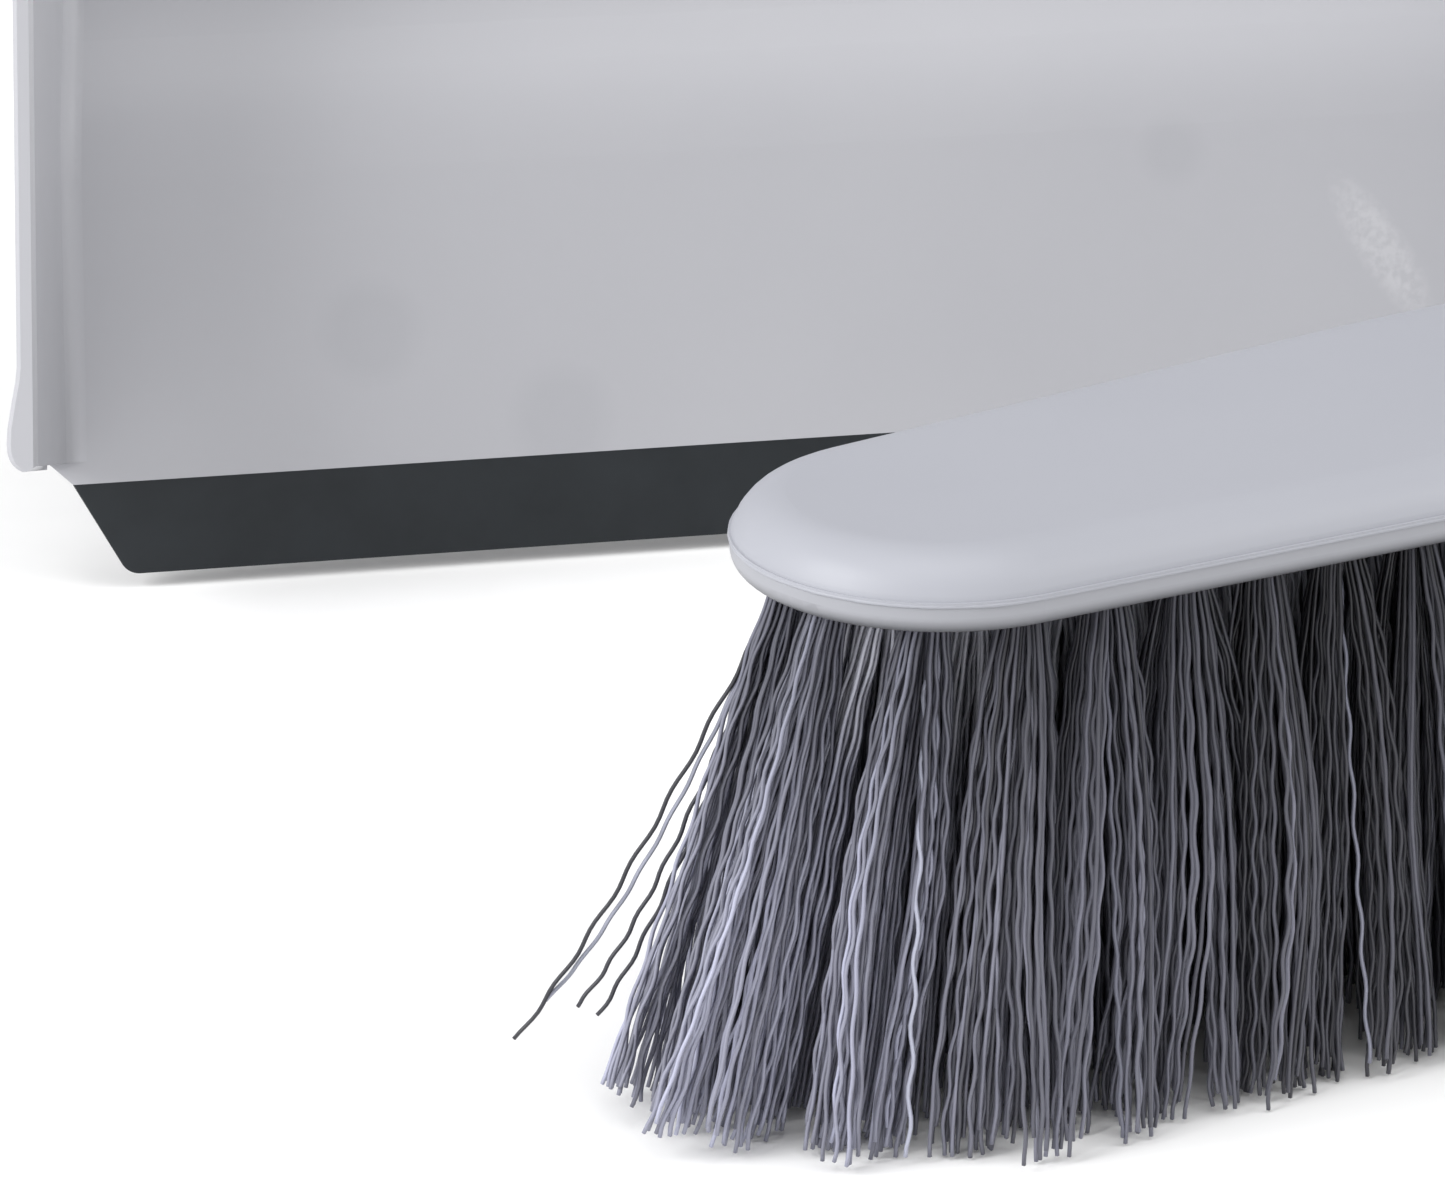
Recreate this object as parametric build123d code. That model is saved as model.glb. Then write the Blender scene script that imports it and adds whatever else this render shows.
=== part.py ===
"""Dust pan and hand brush set.

The pan hangs by the round hole at the end of its handle, its lip just clear of the floor. The
brush stands on its bristles in front of the pan. Units are millimetres, +Z is up, and the origin
is the centre of the pan's hanging hole. +X runs along the pan's lip and -Y faces the user.
"""

import math
import os

from build123d import *

# ---- How the set stands ----
PAN_LEAN = 19.0  # the pan floor's lean back from the vertical, which hanging gives it
LIP_FRONT_Y = -20.0  # the lip's front edge, from the hanging hole
LIP_FRONT_Z = -298.0
FLOOR_Z = -300.0  # the floor that the bristle tips stand on
BRUSH_NOSE_X = -52.1  # the front end of the brush
BRUSH_NOSE_Y = -186.2
BRUSH_YAW = 20.9  # the brush's turn about the vertical, from the lip's direction

# ---- Pan tray, drawn flat: X across, Y from the lip's front edge to the back, Z off its base ----
MOUTH_HALF = 113.0  # half the outer width of the base at the mouth
MOUTH_Y = 15.1  # front ends of the side walls
BACK_Y = 182.0  # outside of the back wall at the base
SIDE_TAPER = 3.2  # each side wall's turn inward toward the back, degrees
SIDE_DRAFT = 7.3  # each side wall's lean outward, degrees
BACK_DRAFT = 12.0
BACK_CORNER_R = 24.0
WALL = 1.8  # at the rim
WALL_FOOT_EXTRA = 1.3  # how much thicker the walls are at the base
INNER_CORNER_R = 3.0  # hollow round where the walls meet the floor
TRAY_HEIGHT = 40.0
FLOOR_THICK = 2.2
RAMP_START = 4.2  # height of the floor's top at the front edge
RAMP_CREST_Y = 58.0
RAMP_CREST = 8.2
RAMP_FOOT_Y = 74.0
CREST_R = 30.0
FOOT_R = 24.0
RIM_OVERHANG = 0.7
RIM_DEPTH = 3.4
RIM_BEVEL = 0.55
LOBE_OUT = 1.3  # how far the rim flares out at the mouth
LOBE_LENGTH = 13.0
LOBE_DROP = 18.0  # how far down the wall's front end it fades out
LOBE_NOSE = 0.6  # how far it stands in front of the wall
LOBE_HALFWAY = 0.55  # share of the swell on the way out
LOBE_END_INSET = 1.9  # from its widest place in to its front end
CLEAR_OF_RIM = 9.0  # how far the cutting blocks reach past the rim

# ---- Rubber lip ----
LIP_SEAM_Y = 12.2  # where plastic ends and rubber begins
SEAM_INSET = 3.0  # how far the seam's ends are inside the mouth's
LIP_FRONT_INSET = 9.6  # the same, at the lip's front edge
LIP_CORNER_R = 2.6
LIP_UNDER_Y = 1.5  # where the lip's flat underside starts to rise
LIP_TIP_THICK = 0.7
TONGUE_THICK = 0.7
TONGUE_LENGTH = 3.4
TONGUE_SLOPE = 0.237

# ---- Pan handle, drawn as it hangs ----
HANDLE_WIDTH = 30.0
HANDLE_NECK_WIDTH = 25.0
HANDLE_THICK = 11.0
HANDLE_ROOT_WIDTH = 64.0
HANDLE_ROOT_DROP = 120.0  # root, below the hanging hole
HANDLE_ROOT_THICK = 8.0
HANDLE_ROOT_BACK = 26.0  # how far the root bends back, into the back wall
HANDLE_NECK_Z = -80.0
HANDLE_GRIP_Z = -44.0
HANDLE_SECTIONS = 12
HANG_HOLE_R = 4.5
CORNER_SHARE = 0.46  # corner radius of a handle, over its thickness

# ---- Brush, drawn from its front end: X along it, Z = 0 at the joint between its two shells ----
HEAD_END_R = 21.2  # radius of the rounded front end, seen from above
HEAD_TAPER = 0.063  # growth of the half width along the straight sides
HEAD_WIDEST_X = 88.0  # where the straight sides end
HEAD_REAR_X = 162.0
HEAD_REAR_HALF = 19.0
HEAD_REAR_R = 14.0
NECK_X = 182.0
NECK_HALF = 11.5
GRIP_X = 232.0
GRIP_HALF = 15.0
BRUSH_HOLE_X = 274.0
TOP_SHELL_THICK = 4.6
TOP_DRAFT = 20.0  # lean of the head's side above the joint, degrees
TOP_ROUND = 5.8
SEAM_BEAD = 0.15  # fine raised line along the joint
GRIP_ABOVE = 6.5
GRIP_BELOW = 6.0
CORE_INSET = 2.4
CORE_HEIGHT = 1.9
NECK_BELOW = 3.2
RECESS_CLEARANCE = 0.1

# ---- Tuft block and tufts ----
BLOCK_DEPTH = 3.4
BLOCK_ROUND = 2.0
BLOCK_SEAM = 0.25  # small chamfer that marks the joint line
TUFT_PITCH = 9.4
FIRST_ROW_X = 6.6
FIRST_ROW_HALF = 3.3  # its two tufts, from the middle
SECOND_ROW_X = 13.3
SECOND_ROW_HALF = 10.4  # its outer tufts, from the middle
THIRD_ROW_X = 21.1
WIDE_ROWS = 14  # the third row and those behind it
TUFT_R = 1.95
HOLE_DEPTH = 4.3
EDGE_TO_TUFT = 5.5  # head's edge to the centre of the outer tufts
CROSS_STEPS = 2  # tufts each side of the middle one
BRISTLE_FREE = 56.6
END_LEAN = 16.0  # how far the end tufts' tips lean out along the brush
END_LEAN_FADE = 16.0
SIDE_SPREAD = 1.34  # tips' spread across the brush, over that of the bases
TIP_FILL = 0.47
ANCHOR_THICK = 0.4
ANCHOR_HEIGHT = 1.4

HEAD_Z = FLOOR_Z + BRISTLE_FREE + BLOCK_DEPTH
TAN_TAPER = math.tan(math.radians(SIDE_TAPER))
TAN_SIDE = math.tan(math.radians(SIDE_DRAFT))
TAN_BACK = math.tan(math.radians(BACK_DRAFT))


# ---- Placing ----
def place_pan(shape):
    """Stand the flat-drawn pan up, lip down and leaning back."""
    return Pos(0, LIP_FRONT_Y, LIP_FRONT_Z) * Rot(90 - PAN_LEAN, 0, 0) * shape


def place_brush(shape):
    """Stand the brush on its bristles in front of the pan."""
    return Pos(BRUSH_NOSE_X, BRUSH_NOSE_Y, HEAD_Z) * Rot(0, 0, BRUSH_YAW) * shape


# ---- Pan tray ----
def tray_half(y, z, inset):
    """Half width of the tray at y and height z, drawn in by inset."""
    return MOUTH_HALF - (y - MOUTH_Y) * TAN_TAPER + z * TAN_SIDE - inset


def tray_section(z, inset, front_y):
    """The tray's plan at height z, with rounded back corners."""
    back_y = BACK_Y + z * TAN_BACK - inset
    front = tray_half(front_y, z, inset)
    back = tray_half(back_y, z, inset)
    outline = Polyline(
        (-front, front_y), (front, front_y), (back, back_y), (-back, back_y), close=True
    )
    face = Pos(0, 0, z) * make_face(outline)
    corners = face.vertices().sort_by(Axis.Y)[-2:]
    return fillet(corners, BACK_CORNER_R - inset)


def tray_loft(z_low, z_high, inset, front_y):
    return loft([tray_section(z_low, inset, front_y), tray_section(z_high, inset, front_y)])


def wall_at(z):
    """Thickness of the side and back walls at height z, most at the base."""
    return WALL + WALL_FOOT_EXTRA * (TRAY_HEIGHT - z) / TRAY_HEIGHT


def dust_space():
    """The space inside the tray, open at the mouth, with a hollow round along the walls' foot."""
    z_low = -3
    z_high = TRAY_HEIGHT + 3
    front_y = MOUTH_Y - 12
    low = tray_section(z_low, wall_at(z_low), front_y)
    high = tray_section(z_high, wall_at(z_high), front_y)
    space = loft([low, high]) & floor_prism(front_y - 3, BACK_Y + 40)
    return fillet([edge for edge in space.edges() if is_wall_foot(edge)], INNER_CORNER_R)


def is_wall_foot(edge):
    """True for an edge of the dust space that runs where a wall meets the floor."""
    box = edge.bounding_box()
    low_down = box.max.Z < RAMP_CREST + 1.5
    across_floor = box.size.Y < 0.2 and box.max.Y < BACK_Y - BACK_CORNER_R
    return low_down and not across_floor


def profile_path(drop, start_y, end_y):
    """Side view of the floor: up a ramp, over its crest and down to the flat, lowered by drop."""
    slope = (RAMP_CREST - RAMP_START) / (RAMP_CREST_Y - LIP_SEAM_Y)
    points = [
        (start_y, RAMP_START - slope * (LIP_SEAM_Y - start_y) - drop),
        (RAMP_CREST_Y, RAMP_CREST - drop),
        (RAMP_FOOT_Y, FLOOR_THICK - drop),
        (end_y, FLOOR_THICK - drop),
    ]
    return points


def side_prism(points, half_width, crest_r=None, foot_r=None):
    """A prism across the pan, whose side view is the polygon of (y, z) points."""
    outline = Polyline([(y, z) for y, z in points], close=True)
    face = make_face(outline)
    for near_y, radius in ((RAMP_CREST_Y, crest_r), (RAMP_FOOT_Y, foot_r)):
        if radius:
            found = [v for v in face.vertices() if abs(v.X - near_y) < 1e-6]
            face = fillet(found, radius)
    side_view = Plane(origin=(-half_width, 0, 0), x_dir=(0, 1, 0), z_dir=(1, 0, 0))
    return extrude(side_view * face, 2 * half_width)


def floor_prism(top_y, far_y):
    """Everything above the floor's top, from its front edge back to far_y."""
    points = profile_path(0, top_y, far_y) + [(far_y, TRAY_HEIGHT + CLEAR_OF_RIM), (top_y, TRAY_HEIGHT + CLEAR_OF_RIM)]
    return side_prism(points, MOUTH_HALF + 20, CREST_R, FOOT_R)


def rim_block():
    """Band round the top of the walls that stands out a little, with its top edge taken off."""
    low, shoulder = TRAY_HEIGHT - RIM_DEPTH, TRAY_HEIGHT - RIM_BEVEL
    side = tray_section(shoulder, -RIM_OVERHANG, MOUTH_Y)
    band = loft([tray_section(low, -RIM_OVERHANG, MOUTH_Y), side])
    return band + loft([side, tray_section(TRAY_HEIGHT, RIM_BEVEL - RIM_OVERHANG, MOUTH_Y)])


def outer_block():
    """The tray's outside as a solid block, cut underneath along the floor's underside."""
    block = tray_loft(-3, TRAY_HEIGHT, 0, MOUTH_Y)
    far_y = BACK_Y + 40
    under = profile_path(FLOOR_THICK, MOUTH_Y - 20, far_y)
    points = under + [(far_y, TRAY_HEIGHT + CLEAR_OF_RIM), (MOUTH_Y - 20, TRAY_HEIGHT + CLEAR_OF_RIM)]
    keep = side_prism(points, MOUTH_HALF + 20, CREST_R, FOOT_R)
    return (block + rim_block() + lobe(-1) + lobe(1)) & keep


def rim_flare():
    """What takes off the inner edge of the rim."""
    low, high = TRAY_HEIGHT - RIM_BEVEL, TRAY_HEIGHT + RIM_BEVEL
    front_y = MOUTH_Y - 12
    return loft([
        tray_section(low, wall_at(low), front_y),
        tray_section(high, wall_at(low) - 2 * RIM_BEVEL, front_y),
    ])


def make_tray():
    """Floor, walls and rim: the block less the space for dust."""
    return outer_block() - dust_space() - rim_flare()


def apron():
    """Front strip of the floor, whose slanted ends run in from the walls to the rubber."""
    slope = (RAMP_CREST - RAMP_START) / (RAMP_CREST_Y - LIP_SEAM_Y)
    rise = slope * (MOUTH_Y - LIP_SEAM_Y)
    points = [
        (LIP_SEAM_Y, RAMP_START - FLOOR_THICK),
        (LIP_SEAM_Y, RAMP_START),
        (MOUTH_Y, RAMP_START + rise),
        (MOUTH_Y, RAMP_START + rise - FLOOR_THICK),
    ]
    seam = MOUTH_HALF - SEAM_INSET
    outline = Polyline(
        (-seam, LIP_SEAM_Y), (seam, LIP_SEAM_Y), (MOUTH_HALF, MOUTH_Y), (-MOUTH_HALF, MOUTH_Y),
        close=True,
    )
    return side_prism(points, MOUTH_HALF + 20) & extrude(make_face(outline), TRAY_HEIGHT)


def lobe_section(z, side, base, swell):
    """Plan of one mouth lobe at height z: the wall's front end, which swells out from base."""
    def at(out, y):
        return (side * (tray_half(y, z, 0) + out), y)

    end_y = MOUTH_Y - LOBE_NOSE
    outside = Spline(
        at(base, MOUTH_Y + LOBE_LENGTH),
        at(base + swell * LOBE_HALFWAY, MOUTH_Y + LOBE_LENGTH * 0.6),
        at(base + swell, MOUTH_Y + LOBE_LENGTH * 0.3),
        at(base + swell * 0.7, MOUTH_Y + 0.8),
        at(base + swell - LOBE_END_INSET, end_y),
    )
    inside = Polyline(
        at(base + swell - LOBE_END_INSET, end_y),
        at(-WALL * 0.9, MOUTH_Y),
        at(-WALL * 0.9, MOUTH_Y + LOBE_LENGTH),
        at(base, MOUTH_Y + LOBE_LENGTH),
    )
    return Pos(0, 0, z) * make_face(Curve() + [outside, inside])


def lobe(side):
    """The swelling is full at the rim and fades out down the wall's front end."""
    sections = [
        lobe_section(TRAY_HEIGHT - LOBE_DROP, side, 0.0, 0.3),
        lobe_section(TRAY_HEIGHT - RIM_DEPTH, side, RIM_OVERHANG, LOBE_OUT * 0.8),
        lobe_section(TRAY_HEIGHT - RIM_BEVEL, side, RIM_OVERHANG, LOBE_OUT),
        lobe_section(TRAY_HEIGHT, side, RIM_OVERHANG - RIM_BEVEL, LOBE_OUT),
    ]
    lofts = [loft(pair, ruled=True) for pair in zip(sections, sections[1:])]
    return lofts[0] + lofts[1:]


def tongue():
    """The plastic edge that the rubber lip grips, midway through the lip's thickness."""
    half = MOUTH_HALF - SEAM_INSET - 4.0
    tip_y = LIP_SEAM_Y - TONGUE_LENGTH
    root_mid = RAMP_START - FLOOR_THICK / 2
    tip_mid = root_mid - TONGUE_LENGTH * TONGUE_SLOPE
    points = [
        (LIP_SEAM_Y + 0.5, root_mid - TONGUE_THICK / 2),
        (LIP_SEAM_Y + 0.5, root_mid + TONGUE_THICK / 2),
        (LIP_SEAM_Y, root_mid + TONGUE_THICK / 2),
        (tip_y, tip_mid + TONGUE_THICK / 2),
        (tip_y, tip_mid - TONGUE_THICK / 2),
        (LIP_SEAM_Y, root_mid - TONGUE_THICK / 2),
    ]
    return side_prism(points, half)


# ---- Pan handle, in the hanging frame ----
def handle_section(z, width, thick, y):
    return Pos(0, y, z) * RectangleRounded(width, thick, thick * CORNER_SHARE)


def round_end(radius, thick):
    """A disc with rounded rims, which closes the end of a handle."""
    disc = Cylinder(radius, thick)
    return fillet(disc.edges().filter_by(GeomType.CIRCLE), thick * CORNER_SHARE)


def ease(stops, at):
    """The value at a place, going smoothly through (place, value) stops in rising order."""
    for (low, first), (high, last) in zip(stops, stops[1:]):
        if at <= high:
            share = (at - low) / (high - low)
            return first + (last - first) * share**2 * (3 - 2 * share)
    return stops[-1][1]


def pan_handle():
    """Grip and flared root that runs down into the back wall, with the hanging hole through it."""
    end_width = HANDLE_WIDTH - 3
    end_thick = HANDLE_THICK - 1.0
    widths = [
        (-HANDLE_ROOT_DROP, HANDLE_ROOT_WIDTH), (HANDLE_NECK_Z, HANDLE_NECK_WIDTH),
        (HANDLE_GRIP_Z, HANDLE_WIDTH), (0, end_width),
    ]
    thicks = [
        (-HANDLE_ROOT_DROP, HANDLE_ROOT_THICK), (HANDLE_NECK_Z, HANDLE_THICK),
        (HANDLE_GRIP_Z, HANDLE_THICK + 1.0), (0, end_thick),
    ]
    step = HANDLE_ROOT_DROP / HANDLE_SECTIONS
    sections = []
    for i in range(HANDLE_SECTIONS + 1):
        z = i * step - HANDLE_ROOT_DROP
        bend = max(0.0, (HANDLE_NECK_Z - z) / (HANDLE_NECK_Z + HANDLE_ROOT_DROP))
        place_y = HANDLE_ROOT_BACK * bend**2
        sections.append(handle_section(z, ease(widths, z), ease(thicks, z), place_y))
    end = Rot(90, 0, 0) * round_end(end_width / 2, end_thick)
    upper = Pos(0, 0, 20) * Box(80, 40, 40)
    body = loft(sections) + (end & upper)
    return body - Rot(90, 0, 0) * Cylinder(HANG_HOLE_R, 40)


def make_pan():
    tray = make_tray() + apron() + tongue()
    return place_pan(tray) + pan_handle()


def make_lip():
    """Rubber blade with slanted ends, thinning toward its front edge and gripping the tongue."""
    top_front = LIP_TIP_THICK
    points = [
        (0, 0),
        (0, top_front),
        (LIP_SEAM_Y, RAMP_START),
        (LIP_SEAM_Y, RAMP_START - FLOOR_THICK),
        (LIP_UNDER_Y, 0),
    ]
    blade = side_prism(points, MOUTH_HALF)
    front = MOUTH_HALF - LIP_FRONT_INSET
    seam = MOUTH_HALF - SEAM_INSET
    outline = Polyline(
        (-front, 0), (front, 0), (seam, LIP_SEAM_Y), (-seam, LIP_SEAM_Y), close=True
    )
    plan = make_face(outline)
    plan = fillet(plan.vertices().sort_by(Axis.Y)[:2], LIP_CORNER_R)
    return place_pan((blade & extrude(plan, 20)) - tongue())


# ---- Brush shells ----
TAPER_ANGLE = math.atan(HEAD_TAPER)
SIDE_START = (
    HEAD_END_R * (1 - math.sin(TAPER_ANGLE)),
    HEAD_END_R * math.cos(TAPER_ANGLE),
)
WIDEST_HALF = SIDE_START[1] + (HEAD_WIDEST_X - SIDE_START[0]) * HEAD_TAPER


def head_half(x):
    """Half width of the head at x from its front end."""
    if x < SIDE_START[0]:
        return math.sqrt(HEAD_END_R**2 - (HEAD_END_R - x) ** 2)
    if x < HEAD_WIDEST_X:
        return SIDE_START[1] + (x - SIDE_START[0]) * HEAD_TAPER
    past = x - HEAD_WIDEST_X
    length = HEAD_REAR_X - HEAD_WIDEST_X
    fall = (WIDEST_HALF + HEAD_TAPER * length - HEAD_REAR_HALF) / length**2
    return WIDEST_HALF + HEAD_TAPER * past - fall * past**2


def head_plan():
    """Plan of the head: a round front end, sides that spread, and a rear with round corners."""
    rear = (HEAD_REAR_X, HEAD_REAR_HALF)
    widest = (HEAD_WIDEST_X, WIDEST_HALF)
    edges = [ThreePointArc((SIDE_START[0], -SIDE_START[1]), (0, 0), SIDE_START)]
    for side in (1, -1):
        start = (SIDE_START[0], side * SIDE_START[1])
        wide = (widest[0], side * widest[1])
        back = (rear[0], side * rear[1])
        edges.append(Line(start, wide))
        edges.append(TangentArc(wide, back, tangent=(1, side * HEAD_TAPER)))
    edges.append(Line(rear, (rear[0], -rear[1])))
    plan = Face(Wire([edge.edge() for edge in edges]))
    return fillet(plan.vertices().sort_by(Axis.X)[-2:], HEAD_REAR_R)


def raise_plan(plan, low, high):
    """A prism on the plan between two heights."""
    return extrude(Pos(0, 0, low) * plan, high - low, dir=(0, 0, 1))


def edges_at(shape, height):
    return shape.edges().filter_by_position(Axis.Z, height - 0.01, height + 0.01)


def grip_section(x, half, above, below):
    """One cross-section of the handle, rounded all round."""
    plane = Plane(origin=(x, 0, (above - below) / 2), x_dir=(0, 1, 0), z_dir=(1, 0, 0))
    thick = above + below
    return plane * RectangleRounded(2 * half, thick, thick * CORNER_SHARE)


def brush_handle():
    neck_start = HEAD_REAR_X - 20
    sections = [
        grip_section(neck_start, head_half(neck_start) - 6, TOP_SHELL_THICK - 0.3, -CORE_HEIGHT - 0.2),
        grip_section(NECK_X, NECK_HALF, TOP_SHELL_THICK + 1.0, NECK_BELOW),
        grip_section(GRIP_X, GRIP_HALF, GRIP_ABOVE, GRIP_BELOW),
        grip_section(BRUSH_HOLE_X, GRIP_HALF - 2.0, GRIP_ABOVE - 1.5, GRIP_BELOW - 1.5),
    ]
    grip = loft(sections)
    radius = GRIP_HALF - 2.0
    thick = GRIP_ABOVE + GRIP_BELOW - 3.0
    middle = (GRIP_ABOVE - GRIP_BELOW) / 2
    end = Pos(BRUSH_HOLE_X, 0, middle) * round_end(radius, thick)
    beyond = Pos(BRUSH_HOLE_X + 30, 0, middle) * Box(60, 60, 60)
    hole = Pos(BRUSH_HOLE_X, 0, middle) * Cylinder(HANG_HOLE_R, 40)
    return grip + (end & beyond) - hole


def make_top_shell():
    """Top of the head with a recess for the block's core, and the whole handle."""
    plan = head_plan()
    top = extrude(plan, TOP_SHELL_THICK, dir=(0, 0, 1), taper=TOP_DRAFT)
    top = fillet(edges_at(top, TOP_SHELL_THICK), TOP_ROUND)
    top += raise_plan(offset(plan, SEAM_BEAD), 0, 2 * SEAM_BEAD)
    recess = raise_plan(offset(plan, -CORE_INSET), -1, CORE_HEIGHT + RECESS_CLEARANCE)
    below = raise_plan(plan, -BLOCK_DEPTH - 10, 0)
    return place_brush(top + brush_handle() - recess - below)


def make_block(tuft_centres):
    """Lower plate of the head, with its core inside the top shell and a hole for each tuft."""
    plan = head_plan()
    plate = raise_plan(plan, -BLOCK_DEPTH, 0)
    plate = fillet(edges_at(plate, -BLOCK_DEPTH), BLOCK_ROUND)
    plate = chamfer(edges_at(plate, 0), BLOCK_SEAM)
    core = raise_plan(offset(plan, -CORE_INSET - RECESS_CLEARANCE), -1, CORE_HEIGHT)
    block = plate + core
    holes = [
        Pos(x, y, HOLE_DEPTH / 2 - BLOCK_DEPTH) * Cylinder(TUFT_R, HOLE_DEPTH)
        for row in tuft_centres
        for x, y in row
    ]
    return place_brush(block - holes)


# ---- Tufts ----
def tuft_rows():
    """Centres of the tufts, one list for each row across the brush."""
    rows = [[(FIRST_ROW_X, -FIRST_ROW_HALF), (FIRST_ROW_X, FIRST_ROW_HALF)]]
    rows.append(row_of_five(SECOND_ROW_X, SECOND_ROW_HALF))
    for i in range(WIDE_ROWS):
        x = THIRD_ROW_X + TUFT_PITCH * i
        rows.append(row_of_five(x, head_half(x) - EDGE_TO_TUFT))
    return rows


def row_of_five(x, reach):
    """Evenly spaced tuft centres, reach to each side of the middle."""
    places = range(-CROSS_STEPS, CROSS_STEPS + 1)
    return [(x, reach * k / CROSS_STEPS) for k in places]


def lean_at(x):
    """How far a tuft's tip leans along the brush: out at both ends, upright between."""
    last_x = THIRD_ROW_X + TUFT_PITCH * (WIDE_ROWS - 1)
    front = math.exp(-(x - FIRST_ROW_X) / END_LEAN_FADE)
    rear = 0.7 * math.exp(-(last_x - x) / END_LEAN_FADE)
    return END_LEAN * (rear - front)


def tip_of(x, y):
    return x + lean_at(x), y * SIDE_SPREAD


def tuft(x, y, tip_r):
    """One tuft: a round root in its hole, widening to a round bunch of tips."""
    root = Pos(x, y, HOLE_DEPTH / 2 - BLOCK_DEPTH) * Cylinder(TUFT_R, HOLE_DEPTH)
    tip_x, tip_y = tip_of(x, y)
    base = Pos(x, y, -BLOCK_DEPTH) * Circle(TUFT_R)
    tips = Pos(tip_x, tip_y, -BLOCK_DEPTH - BRISTLE_FREE) * Circle(tip_r)
    return root + loft([base, tips]) - anchor(x, y)


def anchor(x, y):
    """Flat wire that pins a folded tuft at the bottom of its hole."""
    top = HOLE_DEPTH - BLOCK_DEPTH
    return Pos(x, y, top - ANCHOR_HEIGHT / 2) * Box(2 * TUFT_R * 0.9, ANCHOR_THICK, ANCHOR_HEIGHT)


def tip_radius(rows, index):
    """Radius that fills the room between neighbouring tips."""
    row = rows[index]
    along = []
    for other in (index - 1, index + 1):
        if 0 <= other < len(rows):
            along.append(abs(tip_of(*rows[other][0])[0] - tip_of(*row[0])[0]))
    across = abs(tip_of(*row[1])[1] - tip_of(*row[0])[1])
    return TIP_FILL * min(min(along), across)


def make_tufts(rows):
    for index, row in enumerate(rows):
        radius = tip_radius(rows, index)
        yield f"tuft_row_{index + 1:02d}", [place_brush(tuft(x, y, radius)) for x, y in row]


def as_one(shapes):
    """Separate solids in one node."""
    return Compound(children=[s for shape in shapes for s in shape.solids()])


def main():
    os.makedirs("parts", exist_ok=True)
    rows = tuft_rows()
    nodes = {
        "pan_body": make_pan(),
        "pan_lip": make_lip(),
        "brush_top_shell": make_top_shell(),
        "brush_tuft_block": make_block(rows),
        "tuft_anchors": as_one([place_brush(anchor(x, y)) for row in rows for x, y in row]),
    }
    for name, tufts in make_tufts(rows):
        nodes[name] = as_one(tufts)
    for name, shape in nodes.items():
        export_step(shape, f"parts/{name}.step")
        box = shape.bounding_box()
        print(name, len(shape.solids()), round(shape.volume), box.min, box.max)


main()
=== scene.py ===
"""Looks of the dust pan and brush set.

The plastic, rubber and wire nodes of the frame keep their shapes, but for a fine bevel along the
rubber lip's edges, and get full materials. Each row of plain tufts is replaced by single crimped
filaments. Lengths are in metres, +Z is up.
"""

import math

import bpy
import numpy as np
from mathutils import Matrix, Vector
from mathutils.geometry import convex_hull_2d


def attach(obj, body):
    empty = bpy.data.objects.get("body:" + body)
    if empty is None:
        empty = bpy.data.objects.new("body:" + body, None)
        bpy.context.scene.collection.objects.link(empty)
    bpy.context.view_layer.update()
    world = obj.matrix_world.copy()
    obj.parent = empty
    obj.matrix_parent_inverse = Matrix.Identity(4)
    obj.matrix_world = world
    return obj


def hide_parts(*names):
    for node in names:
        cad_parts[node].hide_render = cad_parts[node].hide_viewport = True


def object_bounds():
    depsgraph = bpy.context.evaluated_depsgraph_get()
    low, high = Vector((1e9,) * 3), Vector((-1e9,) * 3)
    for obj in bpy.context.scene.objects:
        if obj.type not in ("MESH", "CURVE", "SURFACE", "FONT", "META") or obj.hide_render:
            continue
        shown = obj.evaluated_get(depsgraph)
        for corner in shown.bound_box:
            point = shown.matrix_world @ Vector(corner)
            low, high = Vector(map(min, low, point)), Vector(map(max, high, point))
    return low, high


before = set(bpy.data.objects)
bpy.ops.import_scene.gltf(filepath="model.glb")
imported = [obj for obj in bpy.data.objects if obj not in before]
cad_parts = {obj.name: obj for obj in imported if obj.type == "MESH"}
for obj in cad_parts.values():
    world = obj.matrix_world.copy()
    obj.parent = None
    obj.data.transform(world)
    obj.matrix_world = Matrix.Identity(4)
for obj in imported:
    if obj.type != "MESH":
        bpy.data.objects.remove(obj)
cad_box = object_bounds()

MM = 0.001

# ---- Camera ----
CAMERA_AT = Vector((-149.1, -662.1, -57.8)) * MM
VIEW_AZIMUTH = 11.06  # degrees from +Y toward +X
VIEW_DOWN = 20.78
LENS = 129.0

# ---- Filaments ----
SEED = 7
FILAMENT_R = 0.235 * MM
FILAMENT_SIDES = 4
STEPS = 56  # rings along a filament
OUTER_COUNT = 58  # filaments in a tuft at the edge of the brush
INNER_COUNT = 36
ROOT_FILL = 0.82  # share of the tuft hole that the roots fill
ROOT_INSIDE = 1.2 * MM  # how far below the top of the plain tuft the roots start
TIP_SPREAD_ALONG = 0.66  # half width of a tuft's tip, over the distance to its neighbour
TIP_SPREAD_ACROSS = 0.57
TIP_RAGGED = 3.4 * MM
RAGGED_POWER = 2.4  # the higher, the fewer short filaments
LEAST_RISE = 0.25 * MM
SPARE_LENGTH = 1.3 * MM  # how much longer a filament is than the drop from its root to its tip
FAN_POWER = 3.0  # the higher, the sooner a tuft spreads
FIRST_ROW_FAN = 1.5
CRIMP = 0.21 * MM
CRIMP_LENGTH = 7.6 * MM
CRIMP_SIZES = (0.55, 1.25)  # least and greatest, over CRIMP
CRIMP_LENGTH_SPREAD = 0.09
CRIMP_ANGLE_SPREAD = 0.7  # radians, of its direction and its phase within a tuft
CRIMP_FROM = 0.04  # share of the length without crimp
CRIMP_FADE_IN = 0.14  # share over which it grows to its full size
DISC_SCATTER = 0.03  # of a filament's place in its tuft, over the tuft's radius
LOCKS = 6  # bunches in a tuft that keep together
LOCK_PULL = 0.32  # how far a tip is drawn to the middle of its bunch, 1 being all the way
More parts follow.
